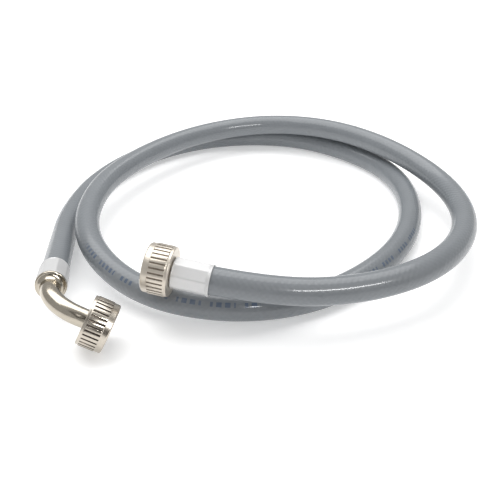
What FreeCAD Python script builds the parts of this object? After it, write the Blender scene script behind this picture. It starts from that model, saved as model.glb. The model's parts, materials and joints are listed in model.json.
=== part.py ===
import FreeCAD, Part
import math
import os
from FreeCAD import Vector

# Appliance inlet hose: a three-layer braided hose lying in a loose coil of about 1.75 turns, with a
# straight fitting on one end and an elbow fitting on the other.
# Millimetres, +Z up. The floor is Z = 0, and the origin is on it, under the middle of the two fittings.

# ---- hose ----
HOSE_BORE = 10.0
LINER_WALL = 1.2
BRAID_WALL = 0.4
COVER_WALL = 1.65
HOSE_R = HOSE_BORE / 2 + LINER_WALL + BRAID_WALL + COVER_WALL
GRIP_LENGTH = 20.0            # hose held inside each ferrule
ARC_SHARE = 0.45              # share of the shorter run that a bend takes

# ---- ferrules ----
FERRULE_ROUND_WALL = 0.95     # wall at the corners between the crimp flats
FERRULE_FLAT_WALL = 0.45      # wall under a crimp flat
FERRULE_LIP = 0.25            # how far the open lip flares past the corners
LIP_WIDTH = 1.2
CRIMP_FLATS = 8
CRIMP_MARGIN = 2.2            # unpressed length at each end
FERRULE_HEAD = 2.3            # ferrule length past the end of the hose
FERRULE_END_WALL = 1.2        # turned-in end that holds the straight tail
EDGE_BEVEL = 0.8

# ---- tails and elbow tube ----
STEM_WALL = 1.0               # wall of the barbed stems, whose outside is the hose's bore
TUBE_WALL = 1.6               # wall of the neck and of the elbow tube round the same bore
TAIL_BORE_R = HOSE_BORE / 2 - STEM_WALL
TUBE_R = TAIL_BORE_R + TUBE_WALL
STEM_LENGTH = 19.0            # barbed length inside the hose
BARBS = 4
BARB_HEIGHT = 0.35
STOP_RING_GAP = 1.05          # between the ferrule's bore and the ring that the hose's end meets
ELBOW_BEND_R = 21.0
ELBOW_TURN = 82.0             # degrees between the two legs of the elbow
ELBOW_NUT_LEG = 4.5           # straight length between the bend and the back of the nut

# ---- elbow collar ----
COLLAR_HEAD = 1.8             # rounded rim past the ferrule
COLLAR_FLARE = 3.6            # length of the hollow-cheeked flare down to the tube
COLLAR_RIM = 0.9              # flat ring left outside the flare
COLLAR_GAP = 0.3              # between the flare's foot and the start of the bend
FLARE_STEPS = 6               # facets along the flare's hollow curve

# ---- nuts, flanges and washers ----
THREAD_R = 24.12 / 2          # minor radius of the G 3/4 inside thread
THREAD_RELIEF = 0.34          # turned relief behind the thread
NUT_WALL = 2.74               # from the thread's minor radius to the ridge tops
NUT_R = THREAD_R + NUT_WALL
NUT_LENGTH = 15.0
NUT_BACK_WALL = 2.0
NUT_BACK_BAND = 1.6
NUT_BACK_BEVEL = 0.3
NUT_FRONT_BAND = 3.7
NUT_BAND_STEP = 0.35          # plain bands lie this far below the ridge tops
GROOVES = 32
GROOVE_WIDTH = 1.1
GROOVE_DEPTH = 0.65
NUT_SWIVEL_GAP = 0.3          # round the neck and behind the flange
NUT_TO_FERRULE = 0.4
MOUTH_CHAMFER = 0.8
FLANGE_GAP = 0.36             # lets the flange and the washer in through the thread
FLANGE_THICK = 2.0
WASHER_GAP = 0.16
WASHER_WIDTH = 4.4            # of the flat ring, from bore to rim
WASHER_THICK = 2.5
STRAIGHT_NUT_BACK = FERRULE_HEAD + NUT_TO_FERRULE             # from the end of the hose
FLANGE_SEAT = NUT_BACK_WALL + NUT_SWIVEL_GAP                  # from the nut's back face
WASHER_SEAT = FLANGE_SEAT + FLANGE_THICK

# Corners of the hose's route, from the straight fitting's end to the elbow's end:
# X, Y, and how far the hose is lifted above lying flat on the floor.
ROUTE = [
    (33, 5, 28), (83, -5, 21.5), (140, 1, 19), (190, 26, 20), (223, 82, 15), (225, 146, 13), (193, 204, 18),
    (146, 251, 18), (88, 270, 15), (30, 249, 14), (-15, 198, 15), (-41, 136, 16), (-38, 71, 12),
    (2, 20, 5), (62, 3, 2), (123, 20, 0), (175, 71, 0), (198, 134, 0), (194, 197, 0), (159, 245, 0),
    (109, 275, 0), (44, 274, 0), (-12, 240, 1), (-49, 186, 0), (-60, 126, 0), (-52, 67, 5), (-42, 12, 16),
]
ROUTE_SHIFT = 1.5             # along -Y, so that the origin lies under the middle of the two fittings


def turned(profile):
    """Solid of revolution about Z from (radius, height) corners."""
    points = [Vector(r, 0, z) for r, z in profile]
    face = Part.Face(Part.makePolygon(points + points[:1]))
    return face.revolve(Vector(0, 0, 0), Vector(0, 0, 1), 360)


def placed(shape, origin, axis):
    """Move a shape built along +Z so that its origin and Z axis lie on the given ones."""
    copy = shape.copy()
    copy.Placement = FreeCAD.Placement(origin, FreeCAD.Rotation(Vector(0, 0, 1), axis))
    return copy


def route_points():
    return [Vector(x, y - ROUTE_SHIFT, HOSE_R + lift) for x, y, lift in ROUTE]


def bend(before, corner, after):
    """Arc that rounds a corner of the route: its start, middle, end and radius."""
    u = (corner - before).normalize()
    v = (after - corner).normalize()
    turn = u.getAngle(v)
    reach = ARC_SHARE * min((corner - before).Length, (after - corner).Length)
    radius = reach / math.tan(turn / 2)
    inward = (v - u).normalize()
    centre = corner + inward * (radius / math.cos(turn / 2))
    middle = centre - inward * radius
    return corner - u * reach, middle, corner + v * reach, radius


def hose_path(points):
    """Straight runs joined by tangent arcs; returns the wire and the bend radii."""
    edges = []
    radii = []
    here = points[0]
    for before, corner, after in zip(points, points[1:], points[2:]):
        start, middle, end, radius = bend(before, corner, after)
        edges.append(Part.LineSegment(here, start).toShape())
        edges.append(Part.Arc(start, middle, end).toShape())
        radii.append(radius)
        here = end
    edges.append(Part.LineSegment(here, points[-1]).toShape())
    return Part.Wire(edges), radii


def pipe(path, start, direction, radius):
    """Round solid swept along a path that begins at start in the given direction."""
    return path.makePipe(Part.Face(Part.Wire(Part.makeCircle(radius, start, direction))))


def layer(path, start, direction, inner_radius, wall):
    """One tubular layer of the hose."""
    return pipe(path, start, direction, inner_radius + wall).cut(pipe(path, start, direction, inner_radius))


def stem_profile(foot):
    """Outer corners of a barbed stem from its tip at -STEM_LENGTH up to foot, for a turned tail."""
    stem_r = HOSE_BORE / 2
    pitch = STEM_LENGTH / (BARBS + 1)
    corners = [(stem_r, -STEM_LENGTH)]
    for barb in range(BARBS):
        top = -STEM_LENGTH + pitch * (barb + 1)
        corners.append((stem_r, top - pitch / 2))
        corners.append((stem_r + BARB_HEIGHT, top))
        corners.append((stem_r, top))
    corners.append((stem_r, foot))
    return corners


def closed_ferrule():
    """Crimped sleeve along Z, whose end is turned in to the straight tail's neck. The hose ends at Z = 0."""
    inner = HOSE_R
    outer = HOSE_R + FERRULE_ROUND_WALL
    lip = outer + FERRULE_LIP
    sleeve = turned([
        (inner, -GRIP_LENGTH), (lip, -GRIP_LENGTH), (lip, -GRIP_LENGTH + LIP_WIDTH / 2),
        (outer, -GRIP_LENGTH + LIP_WIDTH), (outer, FERRULE_HEAD - EDGE_BEVEL),
        (outer - EDGE_BEVEL, FERRULE_HEAD), (TUBE_R, FERRULE_HEAD),
        (TUBE_R, FERRULE_HEAD - FERRULE_END_WALL), (inner, FERRULE_HEAD - FERRULE_END_WALL)])
    return sleeve.cut(crimp_cutters(-GRIP_LENGTH + CRIMP_MARGIN, FERRULE_HEAD - EDGE_BEVEL))


def open_ferrule():
    """The elbow's sleeve: the same tube the other way round, with its rounded end over the hose."""
    inner = HOSE_R
    outer = HOSE_R + FERRULE_ROUND_WALL
    sleeve = turned([
        (inner, -GRIP_LENGTH), (outer - EDGE_BEVEL, -GRIP_LENGTH), (outer, -GRIP_LENGTH + EDGE_BEVEL),
        (outer, FERRULE_HEAD), (inner, FERRULE_HEAD)])
    return sleeve.cut(crimp_cutters(-GRIP_LENGTH + EDGE_BEVEL, FERRULE_HEAD - CRIMP_MARGIN))


def crimp_cutters(low, high):
    """Eight blocks that press flats into a sleeve between two heights."""
    apothem = HOSE_R + FERRULE_FLAT_WALL
    block = Part.makeBox(HOSE_R, 2 * HOSE_R, high - low, Vector(apothem, -HOSE_R, low))
    blocks = []
    for flat in range(CRIMP_FLATS):
        turned_block = block.copy()
        turned_block.rotate(Vector(0, 0, 0), Vector(0, 0, 1), 360.0 * (flat + 0.5) / CRIMP_FLATS)
        blocks.append(turned_block)
    return Part.Compound(blocks)


def straight_tail():
    """Barbed tail, stop ring, neck and flange, turned from one bar. The hose ends at Z = 0."""
    ring = HOSE_R - STOP_RING_GAP
    stop = FERRULE_HEAD - FERRULE_END_WALL
    flange = THREAD_R - FLANGE_GAP
    flange_back = STRAIGHT_NUT_BACK + FLANGE_SEAT
    flange_front = STRAIGHT_NUT_BACK + WASHER_SEAT
    return turned([(TAIL_BORE_R, -STEM_LENGTH)] + stem_profile(0.0) + [
        (ring, 0.0), (ring, stop), (TUBE_R, stop), (TUBE_R, flange_back),
        (flange, flange_back), (flange, flange_front), (TAIL_BORE_R, flange_front)])


def nut():
    """Swivel nut along Z, with its back face at Z = 0 and its mouth at NUT_LENGTH."""
    band = NUT_R - NUT_BAND_STEP
    knurl_end = NUT_LENGTH - NUT_FRONT_BAND
    hole = TUBE_R + NUT_SWIVEL_GAP
    relief = THREAD_R + THREAD_RELIEF
    thread_start = WASHER_SEAT + WASHER_THICK
    body = turned([
        (hole, 0), (band - NUT_BACK_BEVEL, 0), (band, NUT_BACK_BEVEL),
        (band, NUT_BACK_BAND), (NUT_R, NUT_BACK_BAND), (NUT_R, knurl_end), (band, knurl_end),
        (band, NUT_LENGTH - EDGE_BEVEL), (band - EDGE_BEVEL, NUT_LENGTH),
        (THREAD_R + MOUTH_CHAMFER, NUT_LENGTH), (THREAD_R, NUT_LENGTH - MOUTH_CHAMFER),
        (THREAD_R, thread_start), (relief, thread_start), (relief, NUT_BACK_WALL), (hole, NUT_BACK_WALL)])
    slot = Part.makeBox(NUT_R, GROOVE_WIDTH, knurl_end - NUT_BACK_BAND,
                        Vector(NUT_R - GROOVE_DEPTH, -GROOVE_WIDTH / 2, NUT_BACK_BAND))
    slots = []
    for groove in range(GROOVES):
        cutter = slot.copy()
        cutter.rotate(Vector(0, 0, 0), Vector(0, 0, 1), 360.0 * groove / GROOVES)
        slots.append(cutter)
    return body.cut(Part.Compound(slots))


def washer():
    """Flat sealing ring, lying on Z = 0."""
    rim = THREAD_R - WASHER_GAP
    bore = rim - WASHER_WIDTH
    return turned([(bore, 0), (rim, 0), (rim, WASHER_THICK), (bore, WASHER_THICK)])


def collar():
    """Ring brazed on the elbow tube: a plug in the ferrule, a rounded rim and a hollow flare."""
    rim = HOSE_R + FERRULE_ROUND_WALL
    head = FERRULE_HEAD + COLLAR_HEAD
    flare = rim - COLLAR_RIM - TUBE_R
    outline = [(TUBE_R, 0.0), (HOSE_R, 0.0), (HOSE_R, FERRULE_HEAD), (rim, FERRULE_HEAD),
               (rim, head - EDGE_BEVEL), (rim - EDGE_BEVEL, head), (rim - COLLAR_RIM, head)]
    for step in range(1, FLARE_STEPS + 1):
        angle = math.pi / 2 * step / FLARE_STEPS
        outline.append((rim - COLLAR_RIM - flare * math.sin(angle),
                        head + COLLAR_FLARE * (1 - math.cos(angle))))
    return turned(outline)


def elbow_axes(hose_end, outward):
    """Corner of the elbow's centreline and the axis of its nut leg, whose nut rests on the floor."""
    turn = math.radians(ELBOW_TURN)
    reach = ELBOW_BEND_R * math.tan(turn / 2)
    corner = hose_end + outward * (FERRULE_HEAD + COLLAR_HEAD + COLLAR_FLARE + COLLAR_GAP + reach)
    to_rim = reach + ELBOW_NUT_LEG + NUT_LENGTH - EDGE_BEVEL
    rim_r = NUT_R - NUT_BAND_STEP
    lean = math.asin(corner.z / math.hypot(to_rim, rim_r)) - math.atan2(rim_r, to_rim)
    side = outward.cross(Vector(0, 0, -1)).normalize()
    down = side.cross(outward).normalize()
    if down.z > 0:
        down = down * -1
    drop = (-math.sin(lean) - math.cos(turn) * outward.z) / (math.sin(turn) * down.z)
    across = side * math.sqrt(1 - drop * drop) + down * drop
    return corner, outward * math.cos(turn) + across * math.sin(turn), reach


def elbow_tube(hose_end, outward, corner, nut_axis, reach):
    """Bent tube: barbed stem in the hose, one bend, and a flange inside the nut."""
    flange_back = reach + ELBOW_NUT_LEG + FLANGE_SEAT
    flange_front = reach + ELBOW_NUT_LEG + WASHER_SEAT
    stem_tip = hose_end - outward * STEM_LENGTH
    bend_start = corner - outward * reach
    bend_end = corner + nut_axis * reach
    inward = (nut_axis - outward).normalize()
    centre = corner + inward * (ELBOW_BEND_R / math.cos(math.radians(ELBOW_TURN) / 2))
    arc = Part.Arc(bend_start, centre - inward * ELBOW_BEND_R, bend_end).toShape()
    outer_path = Part.Wire([Part.LineSegment(hose_end, bend_start).toShape(), arc,
                            Part.LineSegment(bend_end, corner + nut_axis * flange_back).toShape()])
    bore_path = Part.Wire([Part.LineSegment(stem_tip, bend_start).toShape(), arc,
                           Part.LineSegment(bend_end, corner + nut_axis * flange_front).toShape()])
    stem = turned([(0, -STEM_LENGTH)] + stem_profile(0.0) + [(0, 0.0)])
    flange = Part.makeCylinder(THREAD_R - FLANGE_GAP, FLANGE_THICK)
    body = pipe(outer_path, hose_end, outward, TUBE_R)
    flange_place = corner + nut_axis * flange_back
    body = body.fuse([placed(stem, hose_end, outward), placed(flange, flange_place, nut_axis)])
    return body.cut(pipe(bore_path, stem_tip, outward, TAIL_BORE_R))


def build():
    points = route_points()
    path, radii = hose_path(points)
    start = points[0]
    along = (points[1] - points[0]).normalize()
    straight_axis = along * -1
    elbow_end = points[-1]
    elbow_out = (points[-1] - points[-2]).normalize()
    corner, nut_axis, reach = elbow_axes(elbow_end, elbow_out)

    straight_nut_back = start + straight_axis * STRAIGHT_NUT_BACK
    elbow_nut_back = corner + nut_axis * (reach + ELBOW_NUT_LEG)
    liner_r = HOSE_BORE / 2
    braid_r = liner_r + LINER_WALL
    cover_r = braid_r + BRAID_WALL
    nodes = {
        "hose_liner": layer(path, start, along, liner_r, LINER_WALL),
        "hose_braid": layer(path, start, along, braid_r, BRAID_WALL),
        "hose_cover": layer(path, start, along, cover_r, COVER_WALL),
        "straight_ferrule": placed(closed_ferrule(), start, straight_axis),
        "straight_tail": placed(straight_tail(), start, straight_axis),
        "straight_nut": placed(nut(), straight_nut_back, straight_axis),
        "straight_washer": placed(washer(), straight_nut_back + straight_axis * WASHER_SEAT, straight_axis),
        "elbow_ferrule": placed(open_ferrule(), elbow_end, elbow_out),
        "elbow_tube": elbow_tube(elbow_end, elbow_out, corner, nut_axis, reach),
        "elbow_collar": placed(collar(), elbow_end, elbow_out),
        "elbow_nut": placed(nut(), elbow_nut_back, nut_axis),
        "elbow_washer": placed(washer(), elbow_nut_back + nut_axis * WASHER_SEAT, nut_axis),
    }
    os.makedirs("parts", exist_ok=True)
    for name, shape in nodes.items():
        shape.exportStep("parts/" + name + ".step")
        print(name, "volume", round(shape.Volume), "solids", len(shape.Solids), "valid", shape.isValid())
    print("hose length", round(path.Length, 1), "bend radii", [round(r) for r in radii])
    wall_area = math.pi * (HOSE_R ** 2 - cover_r ** 2)
    print("cover volume from section and length", round(wall_area * path.Length))
    nuts = (("straight", straight_nut_back, straight_axis), ("elbow", elbow_nut_back, nut_axis))
    for name, back, axis in nuts:
        mouth = back + axis * NUT_LENGTH
        print(name, "mouth", [round(c, 4) for c in mouth], "axis", [round(c, 6) for c in axis])


build()
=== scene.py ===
import bpy
import json
import math
from mathutils import Matrix, Vector

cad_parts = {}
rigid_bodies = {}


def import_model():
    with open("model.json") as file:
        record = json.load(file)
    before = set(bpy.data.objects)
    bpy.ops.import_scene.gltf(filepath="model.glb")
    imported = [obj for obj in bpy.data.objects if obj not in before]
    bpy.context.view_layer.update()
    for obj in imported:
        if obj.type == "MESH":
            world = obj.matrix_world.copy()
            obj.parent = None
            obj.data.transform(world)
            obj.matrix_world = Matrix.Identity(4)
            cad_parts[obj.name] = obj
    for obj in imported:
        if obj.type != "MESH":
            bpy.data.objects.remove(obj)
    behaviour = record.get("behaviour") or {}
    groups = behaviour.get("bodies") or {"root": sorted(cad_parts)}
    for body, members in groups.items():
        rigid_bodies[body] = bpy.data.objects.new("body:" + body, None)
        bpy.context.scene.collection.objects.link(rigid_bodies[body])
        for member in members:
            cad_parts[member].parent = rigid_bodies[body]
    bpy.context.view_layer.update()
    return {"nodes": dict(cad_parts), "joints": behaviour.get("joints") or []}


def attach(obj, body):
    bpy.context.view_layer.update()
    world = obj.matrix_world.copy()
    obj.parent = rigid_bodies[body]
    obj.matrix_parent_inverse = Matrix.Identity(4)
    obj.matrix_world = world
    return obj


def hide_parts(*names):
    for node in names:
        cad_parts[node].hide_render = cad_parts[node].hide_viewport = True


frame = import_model()

# ---- Camera ----
# It stands in front of the two fittings, 0.38 m from them, and looks down on the coil.
CAMERA_PLACE = Vector((0.074, -0.3025, 0.2438))
CAMERA_DOWN = math.radians(32.11)
LENS_MM = 47.04
SENSOR_MM = 36
camera = bpy.data.objects.new("camera", bpy.data.cameras.new("camera"))
camera.location = CAMERA_PLACE
camera.rotation_euler = (math.pi / 2 - CAMERA_DOWN, 0, 0)
camera.data.sensor_width = SENSOR_MM
camera.data.lens = LENS_MM
camera.data.clip_start = 0.01
bpy.context.scene.collection.objects.link(camera)
bpy.context.scene.camera = camera

# ---- Route of the hose ----
# The hose is one smooth line on and just over the floor: out of the straight ferrule, once round over
# itself, a second time round beneath, and into the elbow's ferrule. ROUTE holds its control points.
HOSE_R = 0.00825
ROUTE = (                     # X, Y, and how far the hose is lifted above lying flat on the floor
    (0.033, 0.005, 0.028), (0.083, -0.005, 0.0215), (0.140, 0.001, 0.019), (0.190, 0.026, 0.020),
    (0.223, 0.082, 0.015), (0.225, 0.146, 0.013), (0.193, 0.204, 0.018), (0.146, 0.251, 0.018),
    (0.088, 0.270, 0.015), (0.030, 0.249, 0.014), (-0.015, 0.198, 0.015), (-0.041, 0.136, 0.016),
    (-0.038, 0.071, 0.012), (0.002, 0.020, 0.005), (0.062, 0.003, 0.002), (0.123, 0.020, 0.0),
    (0.175, 0.071, 0.0), (0.198, 0.134, 0.0), (0.194, 0.197, 0.0), (0.159, 0.245, 0.0),
    (0.109, 0.275, 0.0), (0.044, 0.274, 0.0), (-0.012, 0.240, 0.001), (-0.049, 0.186, 0.0),
    (-0.060, 0.126, 0.0), (-0.052, 0.067, 0.005), (-0.042, 0.012, 0.016),
)
ROUTE_SHIFT = 0.0015          # along -Y, so that the origin lies under the middle of the two fittings
corners = [Vector((x, y - ROUTE_SHIFT, HOSE_R + lift)) for x, y, lift in ROUTE]
route_curve = bpy.data.curves.new("route", "CURVE")
route_curve.dimensions = "3D"
route_curve.resolution_u = 32
spline = route_curve.splines.new("NURBS")
spline.points.add(len(corners) - 1)
for point, corner in zip(spline.points, corners):
    point.co = (*corner, 1)
spline.order_u = 3
spline.use_endpoint_u = True
route = bpy.data.objects.new("route", route_curve)
bpy.context.scene.collection.objects.link(route)
bpy.context.view_layer.update()
centre_mesh = bpy.data.meshes.new_from_object(route)
centreline = [vertex.co.copy() for vertex in centre_mesh.vertices]
bpy.data.meshes.remove(centre_mesh)
hose_length = sum((b - a).length for a, b in zip(centreline, centreline[1:]))

# ---- Hose skin ----
# The outermost layer of the hose: grey PVC, extruded over the braid, whose crossings show through it as
# a fine ripple. The ferrules grip its two ends. A line of blue marks is printed along it.
SKIN_WALL = 0.00165
GRIP = 0.020                  # length of hose inside each ferrule
BRAID_YARNS = 12              # each way round
BRAID_PITCH = 0.0037          # from one crossing to the next along the hose
RIPPLE = 0.00008              # height of the braid's pattern in the skin
GRAIN = 0.000004
PRINT_TURN = 0.09             # where the printed line runs, in turns round the hose
PRINT_HALF_HEIGHT = 0.028     # in turns
PRINT_REPEAT = 0.51           # length of hose after which the marks come again
WIDE_GROUP = (0.61, 0.72)     # where a group of wide bars starts and ends in each repeat
NARROW_GROUP = (0.47, 0.57)
LAST_GROUP = 0.86             # narrow bars from here to the end of the repeat
WORD = 0.0193                 # from one word of bars to the next
WORD_FILL = 0.74              # share of a word's length that holds bars
WIDE_BAR = 0.0049             # from one bar to the next
WIDE_FILL = 0.62
NARROW_BAR = 0.0034
NARROW_FILL = 0.55
INK = (0.035, 0.075, 0.150, 1)
RING_CUTS = (19, 26)          # cut twice, so that the hose has 540 short rings
LEVEL = 1e-5                  # an edge whose ends differ less in height lies level


def only(piece):
    """Leaves one object selected and active, so that the operators work on it alone."""
    bpy.ops.object.select_all(action="DESELECT")
    piece.select_set(True)
    bpy.context.view_layer.objects.active = piece


def pick_edges(piece, wanted):
    """Selects, in edit mode, the edges for whose two end points wanted(a, b) is true."""
    bpy.ops.object.mode_set(mode="EDIT")
    bpy.ops.mesh.select_mode(type="EDGE")
    bpy.ops.mesh.select_all(action="DESELECT")
    bpy.ops.object.mode_set(mode="OBJECT")
    points = piece.data.vertices
    for edge in piece.data.edges:
        edge.select = wanted(*(points[corner].co for corner in edge.vertices))
    bpy.ops.object.mode_set(mode="EDIT")


def apply_all(piece):
    only(piece)
    for modifier in list(piece.modifiers):
        bpy.ops.object.modifier_apply(modifier=modifier.name)


def add_modifier(piece, kind, **settings):
    modifier = piece.modifiers.new(kind.lower(), kind)
    for name, value in settings.items():
        setattr(modifier, name, value)


def hose_tube(name, radius, wall, sides):
    """A tube of the hose's length: drawn upright, divided into short rings and laid along the route."""
    bpy.ops.object.select_all(action="DESELECT")
    bpy.ops.mesh.primitive_cylinder_add(
        vertices=sides, radius=radius, depth=hose_length, end_fill_type="NOTHING",
        location=(0, 0, hose_length / 2))
    tube = bpy.context.object
    tube.name = name
    for cuts in RING_CUTS:
        pick_edges(tube, lambda a, b: abs(a.z - b.z) > LEVEL)
        bpy.ops.mesh.subdivide(number_cuts=cuts)
        bpy.ops.object.mode_set(mode="OBJECT")
    bpy.ops.object.transform_apply(location=True, rotation=False, scale=False)
    add_modifier(tube, "SOLIDIFY", thickness=wall, offset=-1)
    add_modifier(tube, "CURVE", object=route, deform_axis="POS_Z")
    apply_all(tube)
    bpy.ops.object.shade_smooth_by_angle(angle=math.radians(40))
    return tube


class Value:
    """A number that varies over a surface. Sums and comparisons of Values and numbers add Math nodes."""

    def __init__(self, look, output):
        self.look = look
        self.output = output

    def maths(self, operation, *inputs):
        return self.look.node("ShaderNodeMath", {"operation": operation}, dict(enumerate(inputs)))

    def through(self, operation):
        return self.maths(operation, self)

    def __add__(self, other):
        return self.maths("ADD", self, other)

    __radd__ = __add__

    def __sub__(self, other):
        return self.maths("SUBTRACT", self, other)

    def __mul__(self, other):
        return self.maths("MULTIPLY", self, other)

    def __gt__(self, other):
        return self.maths("GREATER_THAN", self, other)

    def __lt__(self, other):
        return self.maths("LESS_THAN", self, other)


class Look:
    """A material under construction: node() adds a node, and shade() sets the shader's own sockets."""

    def __init__(self, name):
        self.material = bpy.data.materials.new(name)
        self.material.use_nodes = True
        self.tree = self.material.node_tree
        self.shader = self.tree.nodes["Principled BSDF"]

    def put(self, socket, value):
        if isinstance(value, Value):
            self.tree.links.new(value.output, socket)
        else:
            socket.default_value = value

    def node(self, kind, settings, inputs, output=0):
        """Adds a node, sets its settings, then its sockets by name or number, and returns one output."""
        made = self.tree.nodes.new(kind)
        for name, value in settings.items():
            setattr(made, name, value)
        for socket, value in inputs.items():
            self.put(made.inputs[socket], value)
        return Value(self, made.outputs[output])

    def shade(self, **sockets):
        for name, value in sockets.items():
            self.put(self.shader.inputs[name.replace("_", " ")], value)

    def cover(self, piece):
        piece.data.materials.clear()
        piece.data.materials.append(self.material)


pvc = Look("grey_pvc")
place = pvc.node("ShaderNodeUVMap", {"uv_map": "UVMap"}, {})
turn = pvc.node("ShaderNodeSeparateXYZ", {}, {"Vector": place}, "X")
along = pvc.node("ShaderNodeSeparateXYZ", {}, {"Vector": place}, "Y") * hose_length
object_place = pvc.node("ShaderNodeTexCoord", {}, {}, "Object")
mottle = pvc.node("ShaderNodeTexNoise", {}, {"Vector": object_place, "Scale": 60.0, "Detail": 3.0}, "Fac")
grain = pvc.node("ShaderNodeTexNoise", {}, {"Vector": object_place, "Scale": 2600.0, "Detail": 2.0}, "Fac")
rings = (along * (2 * math.pi / BRAID_PITCH)).through("COSINE")
columns = (turn * (2 * math.pi * BRAID_YARNS)).through("COSINE")
on_line = (turn - PRINT_TURN).through("ABSOLUTE") < PRINT_HALF_HEIGHT
in_repeat = (along * (1 / PRINT_REPEAT)).through("FRACT")
in_wide_group = (in_repeat > WIDE_GROUP[0]) * (in_repeat < WIDE_GROUP[1])
in_narrow_group = (in_repeat > NARROW_GROUP[0]) * (in_repeat < NARROW_GROUP[1]) + (in_repeat > LAST_GROUP)
in_word = (along * (1 / WORD)).through("FRACT") < WORD_FILL
wide_bars = ((along * (1 / WIDE_BAR)).through("FRACT") < WIDE_FILL) * in_wide_group
narrow_bars = ((along * (1 / NARROW_BAR)).through("FRACT") < NARROW_FILL) * in_narrow_group
bare = pvc.node("ShaderNodeMix", {"data_type": "RGBA"},
                {"Factor": mottle, "A": (0.165, 0.180, 0.195, 1), "B": (0.200, 0.217, 0.233, 1)}, "Result")
base = pvc.node("ShaderNodeMix", {"data_type": "RGBA"},
                {"Factor": on_line * in_word * (wide_bars + narrow_bars) * (0.25 + mottle * 0.8), "A": bare,
                 "B": INK}, "Result")
normal = pvc.node("ShaderNodeBump", {}, {"Strength": 1.0, "Distance": 1.0,
                                         "Height": rings * columns * RIPPLE + grain * GRAIN})
pvc.shade(Base_Color=base, Roughness=0.50 + mottle * 0.12, Normal=normal, Coat_Weight=0.6,
          Coat_Roughness=0.15)

skin = hose_tube("hose_skin", HOSE_R, SKIN_WALL, 48)
pvc.cover(skin)
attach(skin, "hose_assembly")
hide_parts("hose_cover")

# ---- Braid ----
# The textile sleeve between skin and liner that takes the water's pressure: twelve flat yarns wound one
# way and twelve the other. It can't be seen from outside, and ends inside the ferrules.
BRAID_R = (0.0062, 0.0066)
BRAID_LEAD = BRAID_YARNS * BRAID_PITCH
BRAID_SHORT = 0.003           # the yarns end this far before the hose does
YARN_THICK = 0.0002
YARN_WIDE = 0.0024
YARN_LIFT = 0.00008           # one set of yarns is this much further out than the middle, one further in
YARN_STEPS = 430
yarn_look = Look("polyester_yarn")
yarn_place = yarn_look.node("ShaderNodeTexCoord", {}, {}, "Object")
fibres = yarn_look.node("ShaderNodeTexNoise", {}, {"Vector": yarn_place, "Scale": 900.0}, "Fac")
yarn_look.shade(Base_Color=yarn_look.node(
    "ShaderNodeMix", {"data_type": "RGBA"},
    {"Factor": fibres, "A": (0.62, 0.62, 0.60, 1), "B": (0.78, 0.78, 0.76, 1)}, "Result"), Roughness=0.8)
braid_turns = hose_length / BRAID_LEAD
yarns = []
for hand in (1, -1):
    for count in range(BRAID_YARNS):
        radius = (BRAID_R[0] + BRAID_R[1]) / 2 + YARN_LIFT * hand
        bpy.ops.object.select_all(action="DESELECT")
        bpy.ops.mesh.primitive_plane_add(size=1, location=(0, 0, 0), rotation=(math.pi / 2, 0, 0))
        yarn = bpy.context.object
        yarn.scale = (YARN_THICK, YARN_WIDE, 1)
        bpy.ops.object.transform_apply(location=False, rotation=True, scale=True)
        yarn.location = (radius, 0, 0)
        bpy.ops.object.transform_apply(location=True, rotation=False, scale=False)
        bpy.ops.object.mode_set(mode="EDIT")
        bpy.ops.mesh.select_mode(type="FACE")
        bpy.ops.mesh.select_all(action="SELECT")
        bpy.ops.mesh.delete(type="ONLY_FACE")
        bpy.ops.object.mode_set(mode="OBJECT")
        add_modifier(yarn, "SCREW", axis="Z", angle=2 * math.pi * hand * braid_turns,
                     screw_offset=hose_length - BRAID_SHORT, steps=YARN_STEPS, render_steps=YARN_STEPS,
                     use_merge_vertices=False)
        apply_all(yarn)
        yarn.rotation_euler.z = 2 * math.pi * count / BRAID_YARNS
        yarns.append(yarn)
bpy.ops.object.select_all(action="DESELECT")
for yarn in yarns:
    yarn.select_set(True)
bpy.context.view_layer.objects.active = yarns[0]
bpy.ops.object.transform_apply(location=True, rotation=True, scale=True)
bpy.ops.object.join()
braid = bpy.context.object
braid.name = "hose_braid_yarns"
add_modifier(braid, "CURVE", object=route, deform_axis="POS_Z")
apply_all(braid)
bpy.ops.object.mode_set(mode="EDIT")
bpy.ops.mesh.select_all(action="SELECT")
bpy.ops.mesh.normals_make_consistent(inside=False)
bpy.ops.object.mode_set(mode="OBJECT")
yarn_look.cover(braid)
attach(braid, "hose_assembly")
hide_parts("hose_braid")

# ---- Liner ----
# The smooth innermost tube of the hose, soft clear-grey PVC, which the barbed tails are pushed into.
LINER_WALL = 0.0012
liner_look = Look("liner_pvc")
liner_place = liner_look.node("ShaderNodeTexCoord", {}, {}, "Object")
haze = liner_look.node("ShaderNodeTexNoise", {}, {"Vector": liner_place, "Scale": 90.0}, "Fac")
liner_look.shade(Base_Color=(0.52, 0.52, 0.50, 1), Roughness=0.25 + haze * 0.2)
liner = hose_tube("hose_liner_tube", BRAID_R[0], LINER_WALL, 24)
liner_look.cover(liner)
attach(liner, "hose_assembly")
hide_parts("hose_liner")

# ---- Ferrules ----
# Aluminium sleeves that clamp the hose onto its tails. Eight crimping jaws press flats into each and
# leave a thin ridge between neighbours. Their surface is satin, with faint marks from the jaws.
FLATS = 8
FLAT_CUTS = 5
SHORTEST_FLAT = 0.002         # the edges along a ridge's ends are all shorter
FERRULE_R = 0.00920
FERRULE_FLAT = 0.00870        # from the axis to a flat
FERRULE_HEAD = 0.0023         # past the end of the hose
FERRULE_END_WALL = 0.0012
TUBE_R = 0.0056
RIDGE = 0.00062               # length of flat that each side of a ridge takes
FACET_ANGLE = math.radians(9) # faces that meet at more than this keep a sharp edge
CLOSE = 1e-6                  # places nearer to each other than this are one


def ring_edges(height):
    """A test for pick_edges: edges that lie in the ring at that height."""
    return lambda a, b: abs(a.z - height) < CLOSE and abs(b.z - height) < CLOSE


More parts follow.
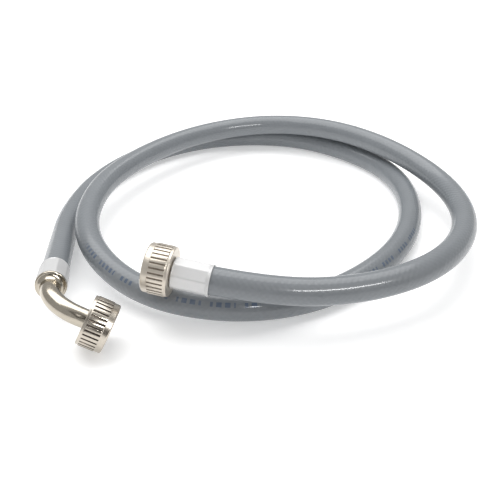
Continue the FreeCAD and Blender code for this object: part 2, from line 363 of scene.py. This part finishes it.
def crimped_sleeve(name, low, high, upper_rings, lower_rings):
    """A sleeve about Z with eight flats from low to high. The rings past each end are round, and they
    run round the edge and through the bore until the two sets meet. A ring is a radius and a height,
    and height 0 is the end of the hose."""
    corner = FERRULE_FLAT / math.cos(math.pi / FLATS)
    bpy.ops.object.select_all(action="DESELECT")
    bpy.ops.mesh.primitive_cylinder_add(
        vertices=FLATS, radius=corner, depth=high - low, end_fill_type="NOTHING",
        location=(0, 0, (low + high) / 2), rotation=(0, 0, math.pi / FLATS))
    sleeve = bpy.context.object
    sleeve.name = name
    bpy.ops.object.transform_apply(location=True, rotation=True, scale=True)
    pick_edges(sleeve, lambda a, b: abs(a.z - b.z) > LEVEL)
    bpy.ops.mesh.bevel(offset=RIDGE, segments=3, affect="EDGES")
    bpy.ops.object.mode_set(mode="OBJECT")
    pick_edges(sleeve, lambda a, b: abs(a.z - b.z) < CLOSE and (a - b).length > SHORTEST_FLAT)
    bpy.ops.mesh.subdivide(number_cuts=FLAT_CUTS)
    bpy.ops.object.mode_set(mode="OBJECT")
    for start, ends in ((high, upper_rings), (low, lower_rings)):
        pick_edges(sleeve, ring_edges(start))
        height = start
        for number, (radius, next_height) in enumerate(ends):
            bpy.ops.mesh.extrude_edges_move(
                TRANSFORM_OT_translate={"value": (0, 0, next_height - height)})
            if number == 0:
                bpy.ops.transform.tosphere(value=1.0)
            bpy.ops.object.mode_set(mode="OBJECT")
            corners = [v.co for v in sleeve.data.vertices if v.select]
            now = sum(math.hypot(v.x, v.y) for v in corners) / len(corners)
            bpy.ops.object.mode_set(mode="EDIT")
            bpy.ops.transform.resize(value=(radius / now, radius / now, 1),
                                     center_override=(0, 0, next_height))
            height = next_height
        bpy.ops.object.mode_set(mode="OBJECT")
    bpy.ops.object.mode_set(mode="EDIT")
    bpy.ops.mesh.select_all(action="SELECT")
    bpy.ops.mesh.remove_doubles(threshold=CLOSE)
    bpy.ops.mesh.normals_make_consistent(inside=False)
    bpy.ops.object.mode_set(mode="OBJECT")
    bpy.ops.object.shade_smooth_by_angle(angle=FACET_ANGLE)
    return sleeve


def set_in(piece, origin, axis, across=None):
    """Puts a piece made about the Z axis in its place: Z goes along axis, and X towards across."""
    turned_to = axis.to_track_quat("Z", "Y").to_matrix()
    if across is not None:
        side = (across - axis * across.dot(axis)).normalized()
        turned_to = Matrix((side, axis.cross(side), axis)).transposed()
    piece.matrix_world = Matrix.Translation(origin) @ turned_to.to_4x4()
    only(piece)
    bpy.ops.object.transform_apply(location=True, rotation=True, scale=True)


straight_joint, elbow_joint = (
    next(joint for joint in frame["joints"] if joint["name"] == name)
    for name in ("straight_nut_spin", "elbow_nut_spin"))
straight_mouth, straight_axis = Vector(straight_joint["pos_m"]), Vector(straight_joint["axis"])
elbow_mouth, elbow_axis = Vector(elbow_joint["pos_m"]), Vector(elbow_joint["axis"])
straight_origin = corners[0]
elbow_origin = corners[-1]
elbow_out = (corners[-1] - corners[-2]).normalized()

aluminium = Look("satin_aluminium")
metal_place = aluminium.node("ShaderNodeTexCoord", {}, {}, "Object")
smear = aluminium.node("ShaderNodeTexNoise", {}, {"Vector": metal_place, "Scale": 420.0, "Detail": 4.0},
                       "Fac")
pits = aluminium.node("ShaderNodeTexNoise", {}, {"Vector": metal_place, "Scale": 2400.0, "Detail": 2.0},
                      "Fac")
aluminium.shade(Base_Color=(0.64, 0.64, 0.64, 1), Metallic=0.5, Roughness=0.44 + smear * 0.16,
                Normal=aluminium.node("ShaderNodeBump", {}, {
                    "Strength": 1.0, "Distance": 1.0, "Height": smear * 0.00002 + pits * 0.000004}))

straight_ferrule = crimped_sleeve(
    "straight_crimp_ferrule", -0.0178, 0.0014,
    ((0.00910, 0.0018), (0.00870, 0.0022), (0.00830, FERRULE_HEAD), (TUBE_R, FERRULE_HEAD),
     (TUBE_R, FERRULE_HEAD - FERRULE_END_WALL), (HOSE_R, FERRULE_HEAD - FERRULE_END_WALL),
     (HOSE_R, -GRIP)),
    ((FERRULE_R, -0.0188), (0.00945, -0.0194), (0.00945, -0.0198), (0.00930, -GRIP), (HOSE_R, -GRIP)))
set_in(straight_ferrule, straight_origin, straight_axis)
elbow_ferrule = crimped_sleeve(
    "elbow_crimp_ferrule", -0.0186, 0.0001,
    ((FERRULE_R, 0.0010), (FERRULE_R, 0.0021), (0.00905, FERRULE_HEAD), (HOSE_R, FERRULE_HEAD),
     (HOSE_R, -GRIP)),
    ((0.00905, -0.0192), (0.00885, -0.0197), (0.00850, -GRIP), (HOSE_R, -GRIP)))
set_in(elbow_ferrule, elbow_origin, elbow_out)
for piece, node in ((straight_ferrule, "straight_ferrule"), (elbow_ferrule, "elbow_ferrule")):
    aluminium.cover(piece)
    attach(piece, "hose_assembly")
    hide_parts(node)

# ---- Elbow tube ----
# A nickel-plated brass tube, bent through a near right angle. Its barbed stem is pressed into the hose,
# and the flange at its other end holds the nut on and presses on the washer.
BORE_R = 0.0040
STEM_R = 0.0050
STEM_LENGTH = 0.019
BARBS = 4
BARB_RISE = 0.00035
BARB_SHOULDER = 0.00002       # length of the steep side of a barb
ELBOW_BEND_R = 0.021
ELBOW_TURN = math.radians(82)
ELBOW_SIDES = 48
ELBOW_STEPS = 36
ELBOW_ROUND = 0.00025
BEND_START = 0.0080           # from the end of the hose
FLANGE_R = 0.0117
FLANGE_THICK = 0.0020
FLANGE_SEAT = 0.0023          # from the nut's back face
NUT_LEG = 0.0045              # straight tube from the bend's end to the nut's back face


def turned(name, sides, rings, closed=True):
    """A turned piece about Z: a circle is extruded and scaled through its rings of (radius, height)."""
    bpy.ops.object.select_all(action="DESELECT")
    radius, height = rings[0]
    bpy.ops.mesh.primitive_circle_add(vertices=sides, radius=radius, location=(0, 0, 0),
                                      enter_editmode=True)
    bpy.ops.transform.translate(value=(0, 0, height))
    for wider, higher in rings[1:] + (rings[:1] if closed else ()):
        bpy.ops.mesh.extrude_edges_move(TRANSFORM_OT_translate={"value": (0, 0, higher - height)})
        bpy.ops.transform.resize(value=(wider / radius, wider / radius, 1),
                                 center_override=(0, 0, higher))
        radius, height = wider, higher
    bpy.ops.mesh.select_all(action="SELECT")
    bpy.ops.mesh.remove_doubles(threshold=CLOSE)
    bpy.ops.mesh.normals_make_consistent(inside=False)
    bpy.ops.object.mode_set(mode="OBJECT")
    piece = bpy.context.object
    piece.name = name
    return piece


def soften(piece, width, segments=3):
    """Rounds a piece's edges and smooths its curved faces."""
    add_modifier(piece, "BEVEL", width=width, segments=segments, limit_method="ANGLE",
                 angle_limit=math.radians(30))
    apply_all(piece)
    bpy.ops.object.shade_smooth_by_angle(angle=math.radians(30))


def stem_rings():
    """The outer rings of a barbed stem from the hose's end down to its tip."""
    pitch = STEM_LENGTH / (BARBS + 1)
    rings = [(STEM_R, 0.0)]
    for barb in reversed(range(BARBS)):
        top = -STEM_LENGTH + pitch * (barb + 1)
        rings += [(STEM_R, top + BARB_SHOULDER), (STEM_R + BARB_RISE, top), (STEM_R, top - pitch / 2)]
    return tuple(rings + [(STEM_R, -STEM_LENGTH)])


def metal(name, dark, light, scale, metallic, roughness, relief):
    """Bare or plated metal whose colour, polish and surface all vary with one noise pattern."""
    look = Look(name)
    where = look.node("ShaderNodeTexCoord", {}, {}, "Object")
    cast = look.node("ShaderNodeTexNoise", {}, {"Vector": where, "Scale": scale, "Detail": 3.0}, "Fac")
    colour = look.node("ShaderNodeMix", {"data_type": "RGBA"},
                       {"Factor": cast, "A": (*dark, 1), "B": (*light, 1)}, "Result")
    surface = look.node("ShaderNodeBump", {}, {"Strength": 1.0, "Distance": 1.0, "Height": cast * relief})
    look.shade(Base_Color=colour, Metallic=metallic, Roughness=roughness + cast * 0.10, Normal=surface)
    return look


polished_nickel = metal("polished_nickel", dark=(0.44, 0.40, 0.335), light=(0.52, 0.475, 0.40),
                        scale=260.0, metallic=1.0, roughness=0.16, relief=0.000008)

elbow = turned("elbow_bent_tube", ELBOW_SIDES, ((TUBE_R, 0.0),) + stem_rings()
               + ((BORE_R, -STEM_LENGTH), (BORE_R, 0.0)), closed=False)
bpy.ops.object.mode_set(mode="EDIT")
bpy.ops.mesh.select_mode(type="EDGE")
bpy.ops.mesh.select_all(action="DESELECT")
bpy.ops.mesh.select_non_manifold()
bpy.ops.mesh.extrude_edges_move(TRANSFORM_OT_translate={"value": (0, 0, BEND_START)})
bpy.ops.mesh.spin(steps=ELBOW_STEPS, angle=ELBOW_TURN, center=(ELBOW_BEND_R, 0, BEND_START),
                  axis=(0, -1, 0))
nut_way = Vector((math.sin(ELBOW_TURN), 0, math.cos(ELBOW_TURN)))
bend_end = Vector((ELBOW_BEND_R * (1 - math.cos(ELBOW_TURN)), 0,
                   BEND_START + ELBOW_BEND_R * math.sin(ELBOW_TURN)))
bpy.ops.mesh.extrude_edges_move(TRANSFORM_OT_translate={"value": nut_way * (NUT_LEG + FLANGE_SEAT)})
bpy.ops.object.mode_set(mode="OBJECT")
flange_back = bend_end + nut_way * (NUT_LEG + FLANGE_SEAT)


def at_flange(a, b, outer):
    """Whether an edge lies in the flange's back plane, on the tube's outer or inner ring."""
    flat = all(abs((point - flange_back).dot(nut_way)) < CLOSE for point in (a, b))
    far = all(((point - flange_back).length > (TUBE_R + BORE_R) / 2) == outer for point in (a, b))
    return flat and far


pick_edges(elbow, lambda a, b: at_flange(a, b, True))
flange_front = flange_back + nut_way * FLANGE_THICK
for shift, scale, centre in ((nut_way * 0, FLANGE_R / TUBE_R, flange_back),
                             (nut_way * FLANGE_THICK, 1, flange_front),
                             (nut_way * 0, BORE_R / FLANGE_R, flange_front)):
    bpy.ops.mesh.extrude_edges_move(TRANSFORM_OT_translate={"value": shift})
    bpy.ops.transform.resize(value=(scale, scale, scale), center_override=centre)
bpy.ops.object.mode_set(mode="OBJECT")
pick_edges(elbow, lambda a, b: at_flange(a, b, False))
bpy.ops.mesh.extrude_edges_move(TRANSFORM_OT_translate={"value": nut_way * FLANGE_THICK})
bpy.ops.mesh.select_all(action="SELECT")
bpy.ops.mesh.remove_doubles(threshold=2 * CLOSE)
bpy.ops.mesh.normals_make_consistent(inside=False)
bpy.ops.object.mode_set(mode="OBJECT")
soften(elbow, ELBOW_ROUND)
set_in(elbow, elbow_origin, elbow_out, elbow_axis)

# ---- Elbow collar ----
# A nickel-plated ring brazed round the elbow's tube. It plugs the ferrule's open end, shows a rounded
# rim, and runs down to the tube in a hollow flare.
COLLAR_HEAD = 0.0018
COLLAR_FLARE = 0.0036
COLLAR_RIM = 0.0009
FLARE_STEPS = 14
COLLAR_CHAMFER = 0.00025
COLLAR_ROUND = 0.0008
collar_top = FERRULE_HEAD + COLLAR_HEAD
collar_rings = ((TUBE_R, 0.0), (HOSE_R, 0.0), (HOSE_R, FERRULE_HEAD),
                (FERRULE_R - COLLAR_CHAMFER, FERRULE_HEAD), (FERRULE_R, FERRULE_HEAD + COLLAR_CHAMFER),
                (FERRULE_R, collar_top - COLLAR_ROUND),
                (FERRULE_R - 0.15 * COLLAR_ROUND, collar_top - 0.5 * COLLAR_ROUND),
                (FERRULE_R - 0.5 * COLLAR_ROUND, collar_top - 0.15 * COLLAR_ROUND),
                (FERRULE_R - COLLAR_ROUND, collar_top))
flare = FERRULE_R - COLLAR_RIM - TUBE_R
for step in range(FLARE_STEPS + 1):
    swing = math.pi / 2 * step / FLARE_STEPS
    collar_rings += ((FERRULE_R - COLLAR_RIM - flare * math.sin(swing),
                      collar_top + COLLAR_FLARE * (1 - math.cos(swing))),)
collar = turned("elbow_brazed_collar", 96, collar_rings)
bpy.ops.object.shade_smooth_by_angle(angle=math.radians(35))
set_in(collar, elbow_origin, elbow_out)
for piece, node in ((elbow, "elbow_tube"), (collar, "elbow_collar")):
    polished_nickel.cover(piece)
    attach(piece, "hose_assembly")
    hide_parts(node)

# ---- Straight tail ----
# The turned brass tail of the straight end: barbs in the hose, a stop ring under the ferrule's turned-in
# end, a neck that the nut spins on, and the flange inside the nut. The frame's own piece has its shape.
tail = frame["nodes"]["straight_tail"]
polished_nickel.cover(tail)

# ---- Swivel nuts ----
# Two nuts of nickel-plated brass, alike in shape, with a knurl of 32 straight grooves, a plain band at each
# end and a G 3/4 inside thread. Each spins on its tail, held by the flange inside it. The straight end's is
# satin, the elbow's is brighter, and the grooves of both are painted darker: painted shade in the recesses.
NUT_LENGTH = 0.015
NUT_R = 0.0148
NUT_BAND_R = 0.01445
NUT_BACK_BAND = 0.0016
NUT_BACK_WALL = 0.0020
NUT_BEVEL = 0.0003
NUT_LIP = 0.0008              # of the rounded edge of the mouth
NUT_KNURL_END = 0.0113
NUT_HOLE_R = 0.0059
GROOVES = 32
SIDES_PER_GROOVE = 3
NUT_SIDES = SIDES_PER_GROOVE * GROOVES
GROOVE_DEPTH = 0.00062
GROOVE_EDGE = 0.00014
NUT_ROUND = 0.00012
THREAD_ROOT_R = 0.01322
THREAD_CREST_R = 0.01206
THREAD_PITCH = 0.001814
THREAD_TURNS = 4
THREAD_STEPS = 64
THREAD_START = 0.0068
THREAD_BASE = 0.82            # share of the pitch that the thread's ridge takes at its root
THREAD_CREST = 0.22           # share of that width at its crest
THREAD_BITE = 0.00005         # how far the ridge reaches into the nut's wall
LEAD_IN = 0.0010              # how much wider than the crests the mouth is
RELIEF_R = 0.0124
satin_nickel = metal("satin_nickel", dark=(0.56, 0.505, 0.43), light=(0.66, 0.605, 0.53),
                     scale=500.0, metallic=0.8, roughness=0.28, relief=0.000006)
# Darker nickel for the knurl's grooves: painted shade in the recesses, not tarnish.
painted_shade_straight_grooves = metal("painted_shade_straight_grooves", dark=(0.20, 0.165, 0.13), light=(0.36, 0.31, 0.26),
                         scale=500.0, metallic=0.8, roughness=0.30, relief=0.000006)
bright_nickel = metal("bright_nickel", dark=(0.50, 0.455, 0.39), light=(0.60, 0.55, 0.48),
                      scale=260.0, metallic=0.9, roughness=0.18, relief=0.000006)
painted_shade_elbow_grooves = metal("painted_shade_elbow_grooves", dark=(0.03, 0.024, 0.018), light=(0.13, 0.105, 0.085),
                         scale=500.0, metallic=0.8, roughness=0.30, relief=0.000006)


def swivel_nut(name, origin, axis, surface, grooves):
    """A nut from its back face at origin to its mouth: turned, its grooves pressed in, its thread added."""
    nut = turned(name, NUT_SIDES, (
        (NUT_HOLE_R, 0.0), (NUT_BAND_R - NUT_BEVEL, 0.0), (NUT_BAND_R, NUT_BEVEL),
        (NUT_BAND_R, NUT_BACK_BAND), (NUT_R, NUT_BACK_BAND + NUT_BEVEL),
        (NUT_R, NUT_KNURL_END - NUT_BEVEL), (NUT_BAND_R, NUT_KNURL_END),
        (NUT_BAND_R, NUT_LENGTH - NUT_LIP), (NUT_BAND_R - 0.00035, NUT_LENGTH - 0.0002),
        (NUT_BAND_R - NUT_LIP, NUT_LENGTH), (THREAD_CREST_R + LEAD_IN, NUT_LENGTH),
        (THREAD_CREST_R + 0.2 * LEAD_IN, NUT_LENGTH - 0.8 * LEAD_IN),
        (THREAD_ROOT_R, NUT_LENGTH - 0.9 * LEAD_IN), (THREAD_ROOT_R, THREAD_START),
        (RELIEF_R, THREAD_START), (RELIEF_R, NUT_BACK_WALL), (NUT_HOLE_R, NUT_BACK_WALL)))
    step = 2 * math.pi / NUT_SIDES
    bpy.ops.object.mode_set(mode="EDIT")
    bpy.ops.mesh.select_mode(type="FACE")
    bpy.ops.mesh.select_all(action="DESELECT")
    bpy.ops.object.mode_set(mode="OBJECT")
    for face in nut.data.polygons:
        centre = face.center
        outside = math.hypot(centre.x, centre.y) > NUT_BAND_R
        on_knurl = NUT_BACK_BAND + NUT_BEVEL < centre.z < NUT_KNURL_END - NUT_BEVEL
        side = int(math.atan2(centre.y, centre.x) // step)
        face.select = outside and on_knurl and side % SIDES_PER_GROOVE == 0
    bpy.ops.object.mode_set(mode="EDIT")
    bpy.ops.mesh.inset(thickness=GROOVE_EDGE, depth=-GROOVE_DEPTH, use_individual=True)
    bpy.ops.mesh.select_more()
    bpy.ops.object.mode_set(mode="OBJECT")
    # The pressed-in groove floors and their walls take the darker material: painted shade in the recesses.
    surface.cover(nut)
    nut.data.materials.append(grooves.material)
    for face in nut.data.polygons:
        face.material_index = int(face.select)
    soften(nut, NUT_ROUND, 2)

    bpy.ops.object.select_all(action="DESELECT")
    bpy.ops.mesh.primitive_plane_add(size=THREAD_PITCH * THREAD_BASE, location=(0, 0, 0),
                                     rotation=(math.pi / 2, 0, 0))
    thread = bpy.context.object
    bpy.ops.object.transform_apply(location=False, rotation=True, scale=False)
    for vertex in thread.data.vertices:
        crest = vertex.co.x < 0
        vertex.co.x = THREAD_CREST_R if crest else THREAD_ROOT_R + THREAD_BITE
        vertex.co.z *= THREAD_CREST if crest else 1.0
    bpy.ops.object.mode_set(mode="EDIT")
    bpy.ops.mesh.select_mode(type="FACE")
    bpy.ops.mesh.select_all(action="SELECT")
    bpy.ops.mesh.delete(type="ONLY_FACE")
    bpy.ops.object.mode_set(mode="OBJECT")
    thread.location.z = THREAD_START + THREAD_PITCH * THREAD_BASE / 2
    bpy.ops.object.transform_apply(location=True, rotation=False, scale=False)
    add_modifier(thread, "SCREW", axis="Z", angle=2 * math.pi, screw_offset=THREAD_PITCH,
                 iterations=THREAD_TURNS, steps=THREAD_STEPS, render_steps=THREAD_STEPS,
                 use_merge_vertices=False)
    apply_all(thread)
    bpy.ops.object.mode_set(mode="EDIT")
    bpy.ops.mesh.select_mode(type="EDGE")
    bpy.ops.mesh.select_all(action="DESELECT")
    bpy.ops.mesh.select_non_manifold()
    bpy.ops.mesh.fill_holes(sides=4)
    bpy.ops.mesh.select_all(action="SELECT")
    bpy.ops.mesh.normals_make_consistent(inside=False)
    bpy.ops.object.mode_set(mode="OBJECT")
    only(thread)
    nut.select_set(True)
    bpy.context.view_layer.objects.active = nut
    bpy.ops.object.join()
    set_in(nut, origin, axis)
    return nut


for end, mouth, axis, surface, grooves in (
        ("straight", straight_mouth, straight_axis, satin_nickel, painted_shade_straight_grooves),
        ("elbow", elbow_mouth, elbow_axis, bright_nickel, painted_shade_elbow_grooves)):
    nut = swivel_nut(end + "_swivel_nut", mouth - axis * NUT_LENGTH, axis, surface, grooves)
    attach(nut, end + "_nut_body")
    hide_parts(end + "_nut")

# ---- Washers ----
# Flat black rubber rings inside the nuts, which seal against the pipe that the nut is screwed onto.
WASHER_R = (0.0075, 0.0119)
WASHER_THICK = 0.0025
WASHER_SEAT = 0.0043          # from the nut's back face
WASHER_ROUND = 0.0003
WASHER_SIDES = 64
rubber = Look("black_rubber")
rubber_place = rubber.node("ShaderNodeTexCoord", {}, {}, "Object")
bloom = rubber.node("ShaderNodeTexNoise", {}, {"Vector": rubber_place, "Scale": 700.0, "Detail": 3.0}, "Fac")
rubber.shade(
    Base_Color=rubber.node("ShaderNodeMix", {"data_type": "RGBA"},
                           {"Factor": bloom, "A": (0.016, 0.016, 0.017, 1), "B": (0.040, 0.040, 0.042, 1)},
                           "Result"),
    Roughness=0.55 + bloom * 0.25,
    Normal=rubber.node("ShaderNodeBump", {}, {"Strength": 1.0, "Distance": 1.0, "Height": bloom * 0.00001}))
for end, mouth, axis in (("straight", straight_mouth, straight_axis), ("elbow", elbow_mouth, elbow_axis)):
    washer = turned(end + "_rubber_washer", WASHER_SIDES, (
        (WASHER_R[0], 0.0), (WASHER_R[1], 0.0), (WASHER_R[1], WASHER_THICK), (WASHER_R[0], WASHER_THICK)))
    soften(washer, WASHER_ROUND)
    set_in(washer, mouth - axis * (NUT_LENGTH - WASHER_SEAT), axis)
    rubber.cover(washer)
    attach(washer, "hose_assembly")
    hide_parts(end + "_washer")

# ---- The free hose ----
# The hose, built earlier, leaves the straight ferrule, lies on the floor and ends in the elbow's fitting;
# its route is removed.
bpy.data.objects.remove(route)

# ---- Floor and light ----
# A plain white table that glows faintly, a white room and a wide soft light overhead. A thin strip lamp at
# the front right draws the streak along the hose, and a dark card is seen only in reflections.
COIL_MIDDLE = (0.08, 0.12, 0)
TABLE_GLOW = 0.35
ROOM_STRENGTH = 0.50
CARD_WIDE = 1.0
CARD_HIGH = 1.05
bpy.ops.object.select_all(action="DESELECT")
bpy.ops.mesh.primitive_plane_add(size=8, location=COIL_MIDDLE)
floor = bpy.context.object
floor.name = "floor"
table = Look("white_table")
table.shade(Base_Color=(0.9, 0.9, 0.9, 1), Roughness=0.7, Emission_Color=(1, 1, 1, 1),
            Emission_Strength=TABLE_GLOW)
table.cover(floor)
room = bpy.data.worlds.new("room")
bpy.context.scene.world = room
room.use_nodes = True
room.node_tree.nodes["Background"].inputs["Color"].default_value = (1, 1, 1, 1)
room.node_tree.nodes["Background"].inputs["Strength"].default_value = ROOM_STRENGTH


def lamp(name, place, aim, size, power):
    light = bpy.data.lights.new(name, "AREA")
    light.shape = "RECTANGLE"
    light.size, light.size_y = size
    light.energy = power
    made = bpy.data.objects.new(name, light)
    made.location = place
    made.rotation_euler = (Vector(aim) - Vector(place)).to_track_quat("-Z", "Y").to_euler()
    bpy.context.scene.collection.objects.link(made)
    return made


lamp("overhead", place=(-0.05, 0.45, 1.0), aim=COIL_MIDDLE, size=(1.5, 1.1), power=14.0)
glint = lamp("front_lamp", place=(0.40, -0.41, 0.47), aim=(0.12, 0.0, 0.03), size=(0.46, 0.012),
             power=3.4)
glint.visible_diffuse = False

bpy.ops.object.select_all(action="DESELECT")
bpy.ops.mesh.primitive_plane_add(size=1, location=(0, 0, 0))
card = bpy.context.object
card.name = "dark_card"
card.scale = (CARD_WIDE, CARD_HIGH, 1)
card.location = (0.41, -0.58, 0.42)
card.rotation_euler = (Vector((0, 0, 0.02)) - card.location).to_track_quat("Z", "Y").to_euler()
black = Look("black_card")
black.shade(Base_Color=(0.02, 0.015, 0.01, 1), Roughness=0.9)
black.cover(card)
card.visible_camera = False
card.visible_diffuse = False
card.visible_shadow = False
bpy.context.scene.view_settings.view_transform = "Standard"
